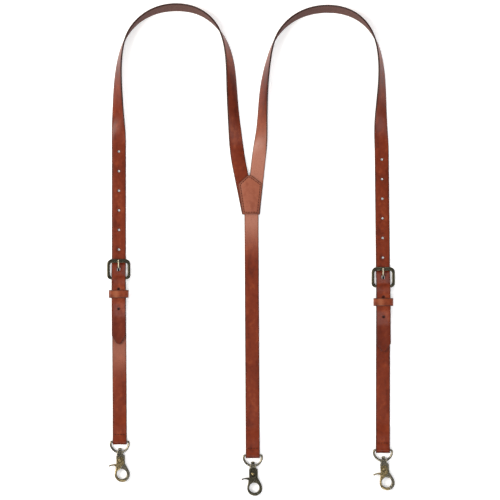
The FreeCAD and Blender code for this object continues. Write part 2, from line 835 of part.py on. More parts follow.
def thumb_tail():
    """Plan face of the curved tail that the thumb presses."""
    x, y = rivet_at
    tip_x = x - tail_reach
    bend_x = x - tail_reach * 0.6
    root_top = vec(x + tail_root["top"], y + tail_rise["root"])
    mid_top = vec(bend_x, y + tail_rise["middle"])
    tip_top = vec(tip_x, y + tail_rise["tip"])
    tip_low = tip_top - Y * tail_t
    tip_end = vec(tip_x - tail_t / 2, tip_top.y - tail_t / 2)
    mid_low = mid_top - Y * tail_t
    root_low = vec(x + tail_root["low"], y + tail_rise["heel"])
    edges = [
        Part.Arc(root_top, mid_top, tip_top).toShape(),
        Part.Arc(tip_top, tip_end, tip_low).toShape(),
        Part.Arc(tip_low, mid_low, root_low).toShape(),
        Part.LineSegment(root_low, root_top).toShape(),
    ]
    return Part.Face(Part.Wire(edges))


def hook_rivet():
    """Pressed in the back plate, with its domed head over the lever's seat."""
    seat = hook_high - seat_depth + rivet_seat_gap
    shaft = rod(vec(*rivet_at, hook_low), vec(*rivet_at, seat), rivet_r)
    head = rod(vec(*rivet_at, seat), vec(*rivet_at, hook_high + rivet_stand), rivet_head_r)
    head = head.makeFillet(rivet_head_round, [e for e in head.Edges if e.BoundBox.ZMin > hook_high])
    return shaft.fuse(head).removeSplitter()


def hook_spring():
    """Coils round the rivet in the lever's pocket, joined where one turn climbs to the next."""
    pitch = 2 * spring_wire_r + spring_gap
    floor = hook_low + back_plate_t + spring_wire_r + spring_gap
    x, y = rivet_at
    last = floor + pitch * (spring_turns - 1)
    coils = [rod(vec(x + spring_r, y, floor), vec(x + spring_r, y, last), spring_wire_r)]
    for n in range(spring_turns):
        coils.append(Part.makeTorus(spring_r, spring_wire_r, vec(x, y, floor + n * pitch), Z))
    return coils[0].fuse(coils[1:]).removeSplitter()


# ---- all the nodes ---------------------------------------------------------------------
def build():
    nodes = {}
    for side in ("left", "right"):
        nodes[side + "_strap"] = front_strap(side)
        nodes[side + "_lower_strap"] = lower_strap(side)
        nodes[side + "_buckle_frame"] = buckle_frame(side)
        nodes[side + "_buckle_prong"] = prong(side)
        nodes[side + "_keeper"] = keeper(side)
        row = row_margin - keeper_flat
        nodes[side + "_buckle_stitching"] = cross_stitching(heel_place(side), row, main_ply_z + strap_t)
    nodes["back_strap"] = back_strap()
    nodes["yoke_back_patch"] = slab(face_of(patch_outline()), 0.0, patch_t)
    nodes["yoke_front_patch"] = slab(face_of(patch_outline()), patch_t + strap_t, 2 * patch_t + strap_t)
    nodes["yoke_stitching"] = yoke_stitching()
    body, lever, rivet, spring = hook_body(), hook_lever(), hook_rivet(), hook_spring()
    for name in ("left", "back", "right"):
        on_table = ring_place(name)
        on_table.Base.z = 0.0
        nodes[name + "_hook_stitching"] = cross_stitching(on_table, ring_stitch_y, 2 * strap_t)
        nodes[name + "_swivel_ring"] = swivel_ring(name)
        nodes[name + "_hook_body"] = placed(body, hook_place(name))
        nodes[name + "_hook_lever"] = placed(lever, hook_place(name))
        nodes[name + "_hook_rivet"] = placed(rivet, hook_place(name))
        nodes[name + "_hook_spring"] = placed(spring, hook_place(name))
    return nodes


os.makedirs("parts", exist_ok=True)
for node, shape in build().items():
    shape.exportStep("parts/" + node + ".step")
    box = shape.BoundBox
    size = "%.1f x %.1f x %.1f" % (box.XLength, box.YLength, box.ZLength)
    print("%-24s %-22s volume %.1f, valid %s" % (node, size, shape.Volume, shape.isValid()))
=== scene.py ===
import math

import bmesh
import bpy
import numpy as np
from mathutils import Matrix, Vector
from mathutils.geometry import interpolate_bezier


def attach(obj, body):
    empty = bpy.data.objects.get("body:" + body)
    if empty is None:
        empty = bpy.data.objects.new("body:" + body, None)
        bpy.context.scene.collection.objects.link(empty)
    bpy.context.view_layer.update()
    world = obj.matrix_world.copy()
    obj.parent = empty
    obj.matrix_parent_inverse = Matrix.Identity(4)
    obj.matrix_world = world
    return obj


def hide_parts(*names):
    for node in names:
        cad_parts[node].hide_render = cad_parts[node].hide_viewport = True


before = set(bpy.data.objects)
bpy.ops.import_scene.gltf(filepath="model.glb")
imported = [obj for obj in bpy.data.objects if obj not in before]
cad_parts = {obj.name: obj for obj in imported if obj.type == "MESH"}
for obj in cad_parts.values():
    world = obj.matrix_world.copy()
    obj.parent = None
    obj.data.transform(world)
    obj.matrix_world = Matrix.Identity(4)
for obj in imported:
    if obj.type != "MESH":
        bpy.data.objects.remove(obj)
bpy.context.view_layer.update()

# ---- front straps ------------------------------------------------------------------------
# Bridle leather cut 15 mm wide, 1.7 mm thick, grain side up, edges painted dark. Each runs
# from its punched tail up the leg, turns on edge over the shoulder and ends inside the yoke.
strap_width = 0.015
strap_t = 0.0017
edge_round = 0.0004
leg_spread = 0.140
heel_y = {"left": -0.0828, "right": -0.0913}
ring_bar = {"left": (-0.139, -0.256), "back": (0.0019, -0.2705), "right": (0.1397, -0.265)}
upper_lean = {"left": 0.0, "right": 0.6}
arch_height = {"left": 0.2037, "right": 0.2020}
# across from yoke to leg, up from yoke to top, and the turn onto the edge in degrees
arch_shape = {
    "left": [
        (0.036, 0.20, 26), (0.064, 0.48, 46), (0.110, 0.76, 72), (0.180, 0.873, 92),
        (0.320, 0.966, 107), (0.527, 1.0, 115), (0.734, 0.966, 108), (0.917, 0.844, 92),
        (0.988, 0.681, 74), (1.006, 0.454, 50), (1.003, 0.27, 24),
    ],
    "right": [
        (0.027, 0.183, 32), (0.050, 0.486, 58), (0.091, 0.688, 77), (0.151, 0.825, 92),
        (0.300, 0.945, 107), (0.581, 1.0, 115), (0.784, 0.957, 107), (0.913, 0.858, 92),
        (0.985, 0.688, 74), (0.997, 0.459, 52), (0.992, 0.25, 22),
    ],
}
patch_t = 0.0012
yoke_bottom = -0.0155
yoke_run = 0.0515
yoke_foot = {"left": -0.0018, "right": 0.0019}
yoke_angle = {"left": 11.5, "right": -6.0}
back_foot_x = 0.0005
back_point_y = 0.005
pin_hole_y = 0.0094
hole_pitch = 0.0208
hole_r = 0.0011
pin_hole_r = 0.0016
pin_hole_pull = 0.0011
holes_above = 6
holes_below = 2
leg_top = pin_hole_y + holes_above * hole_pitch + 0.006
tail_taper = 0.0085
trim_allowance = 0.003
heel_top = 0.0062
leg_line = [                 # along the leg, height of the underside
    (-0.0696, 0.00235), (-0.041, 0.00235), (-0.02635, 0.00555), (-0.00735, 0.00555),
    (-0.0014, heel_top + 0.0002), (0.0014, heel_top + 0.0002), (0.01555, 0.0), (leg_top, 0.0),
]
UP = Vector((0, 0, 1))


def strap_frame(x, y, lean):
    """Where a strap's own origin and +Y lie on the table; it leans left by these degrees."""
    return Matrix.Translation((x, y, 0)) @ Matrix.Rotation(math.radians(lean), 4, "Z")


def lean_between(low, high):
    return math.degrees(math.atan2(low[0] - high[0], high[1] - low[1]))


def eased(points, reach):
    """A line whose corners are eased over this length on either side."""
    points = [Vector(p) for p in points]
    line = [points[0]]
    for before, corner, after in zip(points, points[1:], points[2:]):
        back, on = before - corner, after - corner
        start = corner + back.normalized() * min(reach, 0.45 * back.length)
        end = corner + on.normalized() * min(reach, 0.45 * on.length)
        line += interpolate_bezier(start, start.lerp(corner, 2 / 3), end.lerp(corner, 2 / 3), end, 9)
    return line + [points[-1]]


def side_line(pairs, reach=0.0025):
    """Middle of a strap seen from the side, from (along, height of its underside) pairs."""
    return eased([(0, y, z + strap_t / 2) for y, z in pairs], reach)


def smooth_line(points, leaving, arriving, count):
    """Places on the smooth curve through these points, with its two end directions given."""
    p = np.array(points, float)
    gap = np.linalg.norm(np.diff(p[:, :2], axis=0), axis=1)
    n = len(p)
    rows, right = np.eye(n), np.zeros_like(p)
    right[0], right[-1] = leaving, arriving
    for i in range(1, n - 1):
        rows[i, i - 1:i + 2] = gap[i], 2 * (gap[i - 1] + gap[i]), gap[i - 1]
        before, after = p[i] - p[i - 1], p[i + 1] - p[i]
        right[i] = 3 * (gap[i] * before / gap[i - 1] + gap[i - 1] * after / gap[i])
    slope = np.linalg.solve(rows, right)
    at = np.append(0, np.cumsum(gap))
    out = []
    for s in np.linspace(0, at[-1], count):
        i = min(int(np.searchsorted(at, s, "right")) - 1, n - 2)
        t, g = (s - at[i]) / gap[i], gap[i]
        out.append(
            (1 + 2 * t) * (1 - t) ** 2 * p[i] + t * (1 - t) ** 2 * g * slope[i]
            + t * t * (3 - 2 * t) * p[i + 1] + t * t * (t - 1) * g * slope[i + 1])
    return np.array(out)


def shoulder_arch(side, top, up):
    """Middle of the strap from the top of the leg over the shoulder to the yoke, with its turn."""
    angle = math.radians(yoke_angle[side])
    entry_x = yoke_foot[side] - yoke_run * math.sin(angle)
    entry_y = yoke_bottom + yoke_run * math.cos(angle)
    points = [(entry_x, entry_y, 0)]
    for across, height, turn in arch_shape[side]:
        x = entry_x + across * (top.x - entry_x)
        points.append((x, entry_y + height * (arch_height[side] - entry_y), math.radians(turn)))
    points.append((top.x, top.y, 0))
    curve = smooth_line(points, (-math.sin(angle), math.cos(angle), 0), (-up.x, -up.y, 0), 480)
    share = np.linspace(0, 1, len(curve))
    ease = np.clip(1 - 4 * share, 0, 1)
    turn = curve[:, 2]
    lift = patch_t * ease * ease * (3 - 2 * ease)
    rise = strap_width / 2 * np.abs(np.sin(turn)) + strap_t / 2 * np.abs(np.cos(turn))
    middle = np.column_stack((curve[:, :2], lift + rise))
    return middle[::-1], turn[::-1]


def run_length(line):
    steps = np.linalg.norm(np.diff(np.array(line), axis=0), axis=1)
    return np.append(0, np.cumsum(steps))


def flat_strap(length, width=strap_width, thickness=strap_t, spacing=0.0008):
    """A strap drawn flat, across X and along Y, with its long edges rounded."""
    bm = bmesh.new()
    bmesh.ops.create_cube(bm, size=1)
    bmesh.ops.scale(bm, vec=(width, length, thickness), verts=bm.verts)
    bmesh.ops.translate(bm, vec=(0, length / 2, 0), verts=bm.verts)
    crosswise = [e for e in bm.edges if abs(e.verts[0].co.x - e.verts[1].co.x) > width / 2]
    bmesh.ops.subdivide_edges(bm, edges=crosswise, cuts=3, use_grid_fill=True)
    corners = [e for e in along_edges(bm, length) if abs(abs(e.verts[0].co.x) - width / 2) < 1e-6]
    bmesh.ops.bevel(
        bm, geom=corners, offset=edge_round, offset_type="OFFSET", segments=3, profile=0.5,
        affect="EDGES", material=-1)
    cuts = int(length / spacing)
    bmesh.ops.subdivide_edges(bm, edges=along_edges(bm, length), cuts=cuts, use_grid_fill=True)
    return bm


def along_edges(bm, length):
    return [e for e in bm.edges if abs(e.verts[0].co.y - e.verts[1].co.y) > length / 2]


def mark(bm, width, along=None, bent=()):
    """Keep each point's place in the flat leather, how far in it is from the cut edge, and
    how much painted sheen it gets; bent holds the middle, reach and strength of each sheen band."""
    place = bm.verts.layers.float_vector.new("lay")
    inward = bm.verts.layers.float.new("edge")
    sheen_layer = bm.verts.layers.float.new("painted_sheen")
    for v in bm.verts:
        y = v.co.y if along is None else along(v.co.y)
        v[place] = (v.co.x, y, v.co.z)
        v[inward] = width(v.co.y) - abs(v.co.x)
        v[sheen_layer] = sum(sharp * math.exp(-((y - middle) / reach) ** 2) for middle, reach, sharp in bent)


def carry(bm, line, broad=None, turn=None):
    """Bend a flat strap onto a line: broad is its fixed direction across, or turn its twist."""
    line = np.array(line, float)
    keep = np.append(True, np.linalg.norm(np.diff(line, axis=0), axis=1) > 1e-7)
    line = line[keep]
    at = run_length(line)
    even = np.linspace(0, at[-1], int(at[-1] / 0.0004))
    middle = np.column_stack([np.interp(even, at, line[:, i]) for i in range(3)])
    ahead = np.gradient(middle, even, axis=0)
    ahead /= np.linalg.norm(ahead, axis=1)[:, None]
    if broad is None:
        level = np.cross(ahead, (0, 0, 1))
        level /= np.linalg.norm(level, axis=1)[:, None]
        angle = np.interp(even, at, np.array(turn)[keep])[:, None]
        across = level * np.cos(angle) + np.array((0, 0, 1)) * np.sin(angle)
    else:
        across = np.tile(np.array(broad, float), (len(even), 1))
    grain = np.cross(across, ahead)
    grain /= np.linalg.norm(grain, axis=1)[:, None]
    flat = np.array([v.co for v in bm.verts])
    spots = [
        np.column_stack([np.interp(flat[:, 1], even, column[:, i]) for i in range(3)])
        for column in (middle, across, grain)]
    placed = spots[0] + spots[1] * flat[:, :1] + spots[2] * flat[:, 2:]
    for v, spot in zip(bm.verts, placed):
        v.co = spot


def finished(bm, name, material, body, slot, *nodes, sharp=38):
    """Make the piece, give it its material, and let it ride on its body."""
    bmesh.ops.recalc_face_normals(bm, faces=bm.faces)
    mesh = bpy.data.meshes.new(name)
    bm.to_mesh(mesh)
    bm.free()
    mesh.shade_smooth()
    mesh.set_sharp_from_angle(angle=math.radians(sharp))
    mesh.materials.append(material)
    piece = bpy.data.objects.new(name, mesh)
    bpy.context.scene.collection.objects.link(piece)
    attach(piece, body)
    if nodes:
        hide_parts(*nodes)
    return piece


def punched(bm, cutters):
    """The flat strap with these plugs cut out of it and the rims of the holes softened."""
    parts = []
    for name, source in (("strap", bm), ("plugs", cutters)):
        mesh = bpy.data.meshes.new(name)
        source.to_mesh(mesh)
        source.free()
        parts.append(bpy.data.objects.new(name, mesh))
        bpy.context.scene.collection.objects.link(parts[-1])
    cut = parts[0].modifiers.new("cut", "BOOLEAN")
    cut.operation = "DIFFERENCE"
    cut.object = parts[1]
    graph = bpy.context.evaluated_depsgraph_get()
    result = bmesh.new()
    result.from_mesh(parts[0].evaluated_get(graph).to_mesh())
    for part in parts:
        bpy.data.objects.remove(part)
    rims = [
        e for e in result.edges
        if e.calc_face_angle(0) > 1.2 and max(abs(v.co.x) for v in e.verts) < strap_width * 0.4
        and min(v.co.y for v in e.verts) > tail_taper]
    bmesh.ops.bevel(
        result, geom=rims, offset=0.00018, offset_type="OFFSET", segments=2, profile=0.5,
        affect="EDGES", material=-1, clamp_overlap=True)
    return result


def plug(bm, y, radius, stretch=0.0):
    """A round or oblong cutter through the strap."""
    made = bmesh.ops.create_cone(
        bm, cap_ends=True, segments=36, radius1=radius, radius2=radius, depth=strap_t * 4,
        matrix=Matrix.Translation((0, y, 0)))["verts"]
    for way in (-1, 1):
        half = [v for v in made if (v.co.y - y) * way > 1e-7]
        bmesh.ops.translate(bm, vec=(0, way * stretch, 0), verts=half)


def seam_x(y):
    """The line along which the two front straps meet inside the yoke."""
    feet = sum(yoke_foot.values()) / 2
    slopes = sum(math.tan(math.radians(a)) for a in yoke_angle.values()) / 2
    return feet - (y - yoke_bottom) * slopes


def trim(bm, low, high, keep, reach=0.04):
    """Cut the yoke end of a strap along an upright plane; keep is the side that stays."""
    low, high = Vector((*low, 0)), Vector((*high, 0))
    away = (high - low).cross(UP) * keep
    near = [f for f in bm.faces if f.calc_center_median().length < reach * 2]
    geom = {g for f in near for g in (f, *f.edges, *f.verts)}
    bmesh.ops.bisect_plane(
        bm, geom=list(geom), plane_co=low, plane_no=away, clear_outer=True, dist=1e-7)
    bmesh.ops.holes_fill(bm, edges=[e for e in bm.edges if e.is_boundary], sides=0)


def put(tree, kind, inputs=None, **settings):
    """Add a node, make its own settings, and set or link its inputs."""
    node = tree.nodes.new(kind)
    for name, value in settings.items():
        setattr(node, name, value)
    for name, value in (inputs or {}).items():
        if isinstance(value, bpy.types.NodeSocket):
            tree.links.new(value, node.inputs[name])
        else:
            node.inputs[name].default_value = value
    return node


def blend_colour(tree, factor, first, second, mode="MIX"):
    node = put(
        tree, "ShaderNodeMix", {0: factor, 6: first, 7: second}, data_type="RGBA", blend_type=mode)
    return node.outputs[2]


def ramp(tree, value, low, high, start=0.0, end=1.0):
    """Value spread from start at low to end at high, eased and held beyond them."""
    node = put(
        tree, "ShaderNodeMapRange",
        {"Value": value, "From Min": low, "From Max": high, "To Min": start, "To Max": end},
        interpolation_type="SMOOTHSTEP")
    return node.outputs["Result"]


def sums(tree, operation, *values):
    node = put(tree, "ShaderNodeMath", dict(enumerate(values)), operation=operation)
    return node.outputs[0]


def noise(tree, vector, scale, detail=3.0, rough=0.55):
    node = put(
        tree, "ShaderNodeTexNoise",
        {"Vector": vector, "Scale": scale, "Detail": detail, "Roughness": rough})
    return node.outputs["Fac"]


def shade(red, green, blue):
    """A colour as it looks, 0 to 255, turned into the light values that a shader takes."""
    linear = [((c / 255 + 0.055) / 1.055) ** 2.4 if c > 10 else c / 3295 for c in (red, green, blue)]
    return (*linear, 1.0)


def new_group(name, takes, gives):
    """A shader node group with named number, colour and vector sockets."""
    group = bpy.data.node_groups.new(name, "ShaderNodeTree")
    for way, sockets in (("INPUT", takes), ("OUTPUT", gives)):
        for label, kind in sockets:
            group.interface.new_socket(label, in_out=way, socket_type="NodeSocket" + kind)
    return group, group.nodes.new("NodeGroupInput").outputs, group.nodes.new("NodeGroupOutput").inputs


def grain_group():
    """Pebbled leather grain: its relief, its pores, and the slow change of tone across a hide."""
    group, given, gives = new_group(
        "leather grain", [("Place", "Vector"), ("Pebbles per metre", "Float")],
        [("Relief", "Float"), ("Pores", "Float"), ("Tone", "Float")])
    wander = put(
        group, "ShaderNodeTexNoise", {"Vector": given["Place"], "Scale": 900.0, "Detail": 2.0})
    shifted = put(
        group, "ShaderNodeVectorMath",
        {0: wander.outputs["Color"], 1: (0.0006, 0.0006, 0.0006)}, operation="MULTIPLY")
    bent = put(
        group, "ShaderNodeVectorMath", {0: given["Place"], 1: shifted.outputs[0]}, operation="ADD")
    pebbles = put(
        group, "ShaderNodeTexVoronoi",
        {"Vector": bent.outputs[0], "Scale": given["Pebbles per metre"], "Smoothness": 0.6},
        feature="SMOOTH_F1")
    domes = ramp(group, pebbles.outputs["Distance"], 0.15, 0.75, 1.0, 0.0)
    fine = noise(group, bent.outputs[0], 5200.0, 2.0)
    stretch = put(
        group, "ShaderNodeMapping", {"Vector": given["Place"], "Scale": (1.0, 0.35, 1.0)})
    creases = noise(group, stretch.outputs[0], 420.0, 4.0, 0.6)
    relief = sums(group, "MULTIPLY_ADD", domes, 0.55, sums(group, "MULTIPLY", fine, 0.25))
    group.links.new(sums(group, "MULTIPLY_ADD", creases, 0.5, relief), gives["Relief"])
    group.links.new(ramp(group, pebbles.outputs["Distance"], 0.55, 0.85), gives["Pores"])
    broad = noise(group, stretch.outputs[0], 55.0, 3.0, 0.6)
    mottle = noise(group, given["Place"], 260.0, 3.0, 0.6)
    tone = sums(group, "MULTIPLY_ADD", broad, 0.65, sums(group, "MULTIPLY", mottle, 0.35))
    group.links.new(ramp(group, tone, 0.30, 0.70), gives["Tone"])
    return group


def edge_group():
    """Edge paint that creeps a little way in from the cut edge, and the burnish beyond it."""
    group, given, gives = new_group(
        "painted edge", [("Place", "Vector"), ("Inward", "Float"), ("Width", "Float")],
        [("Paint", "Float"), ("Burnish", "Float")])
    uneven = noise(group, given["Place"], 700.0, 3.0)
    inner = sums(group, "MULTIPLY_ADD", uneven, given["Width"], given["Inward"])
    far = sums(group, "MULTIPLY", given["Width"], 1.7)
    near = sums(group, "MULTIPLY", far, 0.45)
    group.links.new(ramp(group, inner, near, far, 1.0, 0.0), gives["Paint"])
    burnish = ramp(group, given["Inward"], 0.0002, 0.0017, 1.0, 0.0)
    patchy = ramp(group, noise(group, given["Place"], 120.0, 2.0), 0.3, 0.7, 0.45, 1.0)
    group.links.new(sums(group, "MULTIPLY", burnish, patchy), gives["Burnish"])
    return group


leather_grain = grain_group()
painted_edge = edge_group()
edge_paint = shade(44, 20, 17)
flesh_pale = shade(114, 84, 78)
flesh_dark = shade(80, 54, 50)
# Colour of the painted shade along stitch grooves.
groove_shade_colour = shade(70, 24, 14)


def leather(name, deep, body, pulled, sheen_colour, holes=False, seam=None):
    """Waxed leather: grain on top, suede flesh underneath, paint on the cut edges, painted sheen
    where marked. A seam is a line of stitches this far in, with painted shade along its groove."""
    material = bpy.data.materials.new(name)
    material.use_nodes = True
    tree = material.node_tree
    shader = tree.nodes["Principled BSDF"]
    place = put(tree, "ShaderNodeAttribute", attribute_name="lay").outputs["Vector"]
    inward = put(tree, "ShaderNodeAttribute", attribute_name="edge").outputs["Fac"]
    painted_sheen = put(tree, "ShaderNodeAttribute", attribute_name="painted_sheen").outputs["Fac"]
    parts = put(tree, "ShaderNodeSeparateXYZ", {0: place}).outputs
    grain = put(tree, "ShaderNodeGroup", node_tree=leather_grain)
    tree.links.new(place, grain.inputs["Place"])
    grain.inputs["Pebbles per metre"].default_value = 1250.0
    edge = put(tree, "ShaderNodeGroup", node_tree=painted_edge)
    tree.links.new(place, edge.inputs["Place"])
    tree.links.new(inward, edge.inputs["Inward"])
    edge.inputs["Width"].default_value = 0.0005
    tone = grain.outputs["Tone"]
    colour = blend_colour(tree, ramp(tree, tone, 0.0, 0.55), deep, body)
    colour = blend_colour(tree, ramp(tree, tone, 0.55, 1.0, 0.0, 0.8), colour, pulled)
    # Painted sheen: a paler, pinker colour laid over the marked bands in place of highlights.
    colour = blend_colour(tree, painted_sheen, colour, sheen_colour)
    burnish = sums(tree, "MULTIPLY", edge.outputs["Burnish"], 0.6)
    colour = blend_colour(tree, burnish, colour, edge_paint)
    colour = blend_colour(tree, sums(tree, "MULTIPLY", grain.outputs["Pores"], 0.35), colour, deep)
    if holes:
        # Painted shade on the walls and rims of the punched holes and the prong slot, in the edge paint
        # colour.
        along = sums(tree, "PINGPONG", sums(tree, "SUBTRACT", parts[1], pin_hole_y), hole_pitch / 2)
        across = sums(tree, "MULTIPLY", parts[0], parts[0])
        away = sums(tree, "SQRT", sums(tree, "MULTIPLY_ADD", along, along, across))
        ring = ramp(tree, away, hole_r + 0.0002, hole_r + 0.0009, 1.0, 0.0)
        in_row = ramp(tree, parts[1], leg_top - 0.002, leg_top, 1.0, 0.0)
        last = pin_hole_y - (holes_below + 0.5) * hole_pitch
        in_row = sums(tree, "MULTIPLY", in_row, ramp(tree, parts[1], last - 0.001, last))
        ring = sums(tree, "MULTIPLY", ring, in_row)
        colour = blend_colour(tree, sums(tree, "MULTIPLY", ring, 0.9), colour, edge_paint)
        tail = ramp(tree, parts[1], -0.045, -0.03, 0.45, 0.0)
        colour = blend_colour(tree, tail, colour, deep)
    # Painted shade: a dark band on each side of the stitch line, standing in for the groove's shadow.
    if seam:
        off = sums(tree, "ABSOLUTE", sums(tree, "SUBTRACT", inward, seam))
        groove_shade = ramp(tree, off, 0.0002, 0.0008, 0.4, 0.0)
        colour = blend_colour(tree, groove_shade, colour, groove_shade_colour)
    fibres = noise(tree, place, 1900.0, 4.0, 0.7)
    flesh = ramp(tree, parts[2], -strap_t * 0.22, -strap_t * 0.4)
    suede = blend_colour(tree, ramp(tree, fibres, 0.35, 0.65), flesh_dark, flesh_pale)
    suede = blend_colour(tree, sums(tree, "MULTIPLY", tone, 0.35), suede, flesh_dark)
    colour = blend_colour(tree, flesh, colour, suede)
    colour = blend_colour(tree, edge.outputs["Paint"], colour, edge_paint)
    tree.links.new(colour, shader.inputs["Base Color"])
    waxed = ramp(tree, tone, 0.0, 1.0, 0.29, 0.37)
    waxed = sums(tree, "MULTIPLY_ADD", grain.outputs["Pores"], 0.12, waxed)
    dull = sums(tree, "MULTIPLY_ADD", flesh, sums(tree, "SUBTRACT", 0.9, waxed), waxed)
    tree.links.new(dull, shader.inputs["Roughness"])
    nap = sums(tree, "MULTIPLY", sums(tree, "MULTIPLY", fibres, flesh), 1.6)
    relief = sums(tree, "ADD", grain.outputs["Relief"], nap)
    bump = put(tree, "ShaderNodeBump", {"Strength": 0.55, "Distance": 0.00012, "Height": relief})
    tree.links.new(bump.outputs[0], shader.inputs["Normal"])
    shader.inputs["Specular IOR Level"].default_value = 0.22
    return material


# Deep, body and pulled-up tones of the hide, then the paler colour used for painted sheen.
hide = [shade(80, 25, 8), shade(106, 38, 14), shade(132, 58, 27), shade(168, 114, 96)]
strap_leather = leather("waxed strap leather", *hide, holes=True)


def tail_half(y):
    """Half width of the front strap at this distance from the tip of its tail."""
    if y > tail_taper:
        return strap_width / 2
    tip = 0.28 * tail_taper
    if y > tip:
        return strap_width / 2 * (0.45 + 0.55 * (y - tip) / (tail_taper - tip))
    return strap_width / 2 * max(0.06, 0.45 * math.sqrt(1 - (1 - y / tip) ** 2))


for side in ("left", "right"):
    outer = -leg_spread if side == "left" else leg_spread
    place = strap_frame(outer, heel_y[side], upper_lean[side])
    up = place.to_3x3() @ Vector((0, 1, 0))
    leg = side_line(leg_line)
    leg_run = run_length(leg)
    leg_y = [p.y for p in leg]
    top = place @ Vector((0, leg_top, 0))
    middle, turn = shoulder_arch(side, top, up)
    angle = math.radians(yoke_angle[side])
    down = Vector((math.sin(angle), -math.cos(angle), 0))
    foot = Vector(middle[-1]) + down * (yoke_run + trim_allowance)
    line = [place @ p for p in leg] + list(middle[1:]) + [foot]
    turns = [0] * len(leg) + list(turn[1:] * (1 if side == "left" else -1)) + [0]
    length = run_length(line)[-1]
    bm = flat_strap(length)
    for v in bm.verts:
        if v.co.y < tail_taper:
            v.co.y = tail_taper * (v.co.y / tail_taper) ** 1.5
            v.co.x *= tail_half(v.co.y) / (strap_width / 2)
    plugs = bmesh.new()
    for n in range(-holes_below, holes_above + 1):
        y = float(np.interp(pin_hole_y + n * hole_pitch, leg_y, leg_run))
        plug(plugs, y, pin_hole_r if n == 0 else hole_r, pin_hole_pull if n == 0 else 0)
    bm = punched(bm, plugs)
    as_cut = lambda y: float(np.interp(y, leg_run, leg_y)) + max(0.0, y - leg_run[-1])
    into_yoke = leg_top + length - leg_run[-1] - yoke_run
    # The right strap gets a band of painted sheen where it comes down towards the yoke.
    mark(bm, tail_half, as_cut, [(into_yoke - 0.006, 0.042, 0.8)] if side == "right" else ())
    carry(bm, line, turn=turns)
    keep = 1 if side == "right" else -1
    seam = (seam_x(back_point_y), back_point_y)
    trim(bm, seam, (seam_x(0.1), 0.1), -keep)
    edge_x = back_foot_x + keep * strap_width / 2
    trim(bm, (edge_x, yoke_bottom), seam, -keep)
    trim(bm, (-0.1, yoke_bottom), (0.1, yoke_bottom), 1)
    finished(bm, side + "_front_strap", strap_leather, "straps", "strap_leather", side + "_strap")

# ---- lower straps and back strap -----------------------------------------------------------
# The same leather, folded round a bar at each end and stitched back on itself. The lower
# straps join buckle to hook; the back strap runs from its point inside the yoke to its hook.
heel_z = 0.0031
heel_clear = 0.0014
heel_fold = heel_clear + strap_t / 2
ring_z = 0.00295
ring_clear = 0.00125
ring_fold = ring_clear + strap_t / 2
main_ply_z = 0.0032
buckle_tab = 0.030
ring_tab = 0.016
keeper_near = 0.00735
keeper_flat = 0.02635
prong_slot = 0.0019
slot_reach = 0.0055
skive = 0.007
ring_climb = [                # along the strap from the ring bar, height of the underside
    (0, ring_z + ring_clear), (0.0006, ring_z + ring_clear), (0.0068, strap_t), (0.0175, strap_t),
    (0.027, 0),
]
plain_leather = leather("waxed strap leather, unpunched", *hide)


def half_turn(y, z, radius, way):
    """Points round a bar from under it to over it, on its far (1) or near (-1) side."""
    angles = [math.pi * i / 16 for i in range(17)]
    return [Vector((0, y + way * radius * math.sin(a), z - radius * math.cos(a))) for a in angles]


def skived(bm, start, end):
    """Pare the strap thinner towards the ends that are tucked under."""
    length = max(v.co.y for v in bm.verts)
    for v in bm.verts:
        near = min(v.co.y if start else skive, length - v.co.y if end else skive)
        if near < skive:
            v.co.z *= 0.5 + 0.5 * near / skive


def plain_half(y):
    return strap_width / 2


def heel_frame(side):
    heel = (-leg_spread if side == "left" else leg_spread, heel_y[side])
    return strap_frame(*heel, lean_between(ring_bar[side], heel))


for side in ("left", "right"):
    place = heel_frame(side)
    reach = (place.to_translation().xy - Vector(ring_bar[side])).length
    main = [
        (0, heel_z + heel_clear), (-0.0008, heel_z + heel_clear), (-keeper_near, main_ply_z),
        (-keeper_flat, main_ply_z), (-buckle_tab - 0.011, 0),
    ] + [(y - reach, z) for y, z in ring_climb[::-1]]
    line = [Vector((0, -buckle_tab, strap_t / 2))] + half_turn(0, heel_z, heel_fold, 1)
    line += side_line(main)[1:] + half_turn(-reach, ring_z, ring_fold, -1)[::-1]
    line += [Vector((0, ring_tab - reach, strap_t / 2))]
    bm = flat_strap(run_length(line)[-1], spacing=0.0007)
    skived(bm, True, True)
    slot_mid = buckle_tab + math.pi * heel_fold / 2
    below_tail = buckle_tab + math.pi * heel_fold + 0.078
    plugs = bmesh.new()
    plug(plugs, slot_mid, prong_slot, math.pi * heel_fold / 2 + slot_reach - prong_slot)
    bm = punched(bm, plugs)
    # The left lower strap gets a band of painted sheen a little below the tail tip.
    mark(bm, plain_half, bent=[(below_tail, 0.02, 0.45)] if side == "left" else ())
    across = place.to_3x3() @ Vector((-1, 0, 0))
    carry(bm, [place @ p for p in line], broad=across)
    finished(
        bm, side + "_folded_strap", plain_leather, "straps", "strap_leather", side + "_lower_strap")

back_frame = strap_frame(*ring_bar["back"], lean_between(ring_bar["back"], (back_foot_x, yoke_bottom)))
back_reach = (Vector(ring_bar["back"]) - Vector((back_foot_x, yoke_bottom))).length
main = ring_climb + [
    (back_reach - 0.014, 0), (back_reach - 0.002, patch_t), (back_reach + 0.0215, patch_t)]
line = [Vector((0, ring_tab, strap_t / 2))] + half_turn(0, ring_z, ring_fold, -1) + side_line(main)[1:]
bm = flat_strap(run_length(line)[-1], spacing=0.0007)
skived(bm, True, False)
# The back strap gets a band of painted sheen just below the yoke.
mark(bm, plain_half, bent=[(ring_tab + math.pi * ring_fold + back_reach - 0.004, 0.025, 0.75)])
carry(bm, [back_frame @ p for p in line], broad=back_frame.to_3x3() @ Vector((1, 0, 0)))
for keep in (-1, 1):
    edge_x = back_foot_x + keep * strap_width / 2
    trim(bm, (edge_x, yoke_bottom), seam, keep)
finished(bm, "back_folded_strap", plain_leather, "straps", "strap_leather", "back_strap")

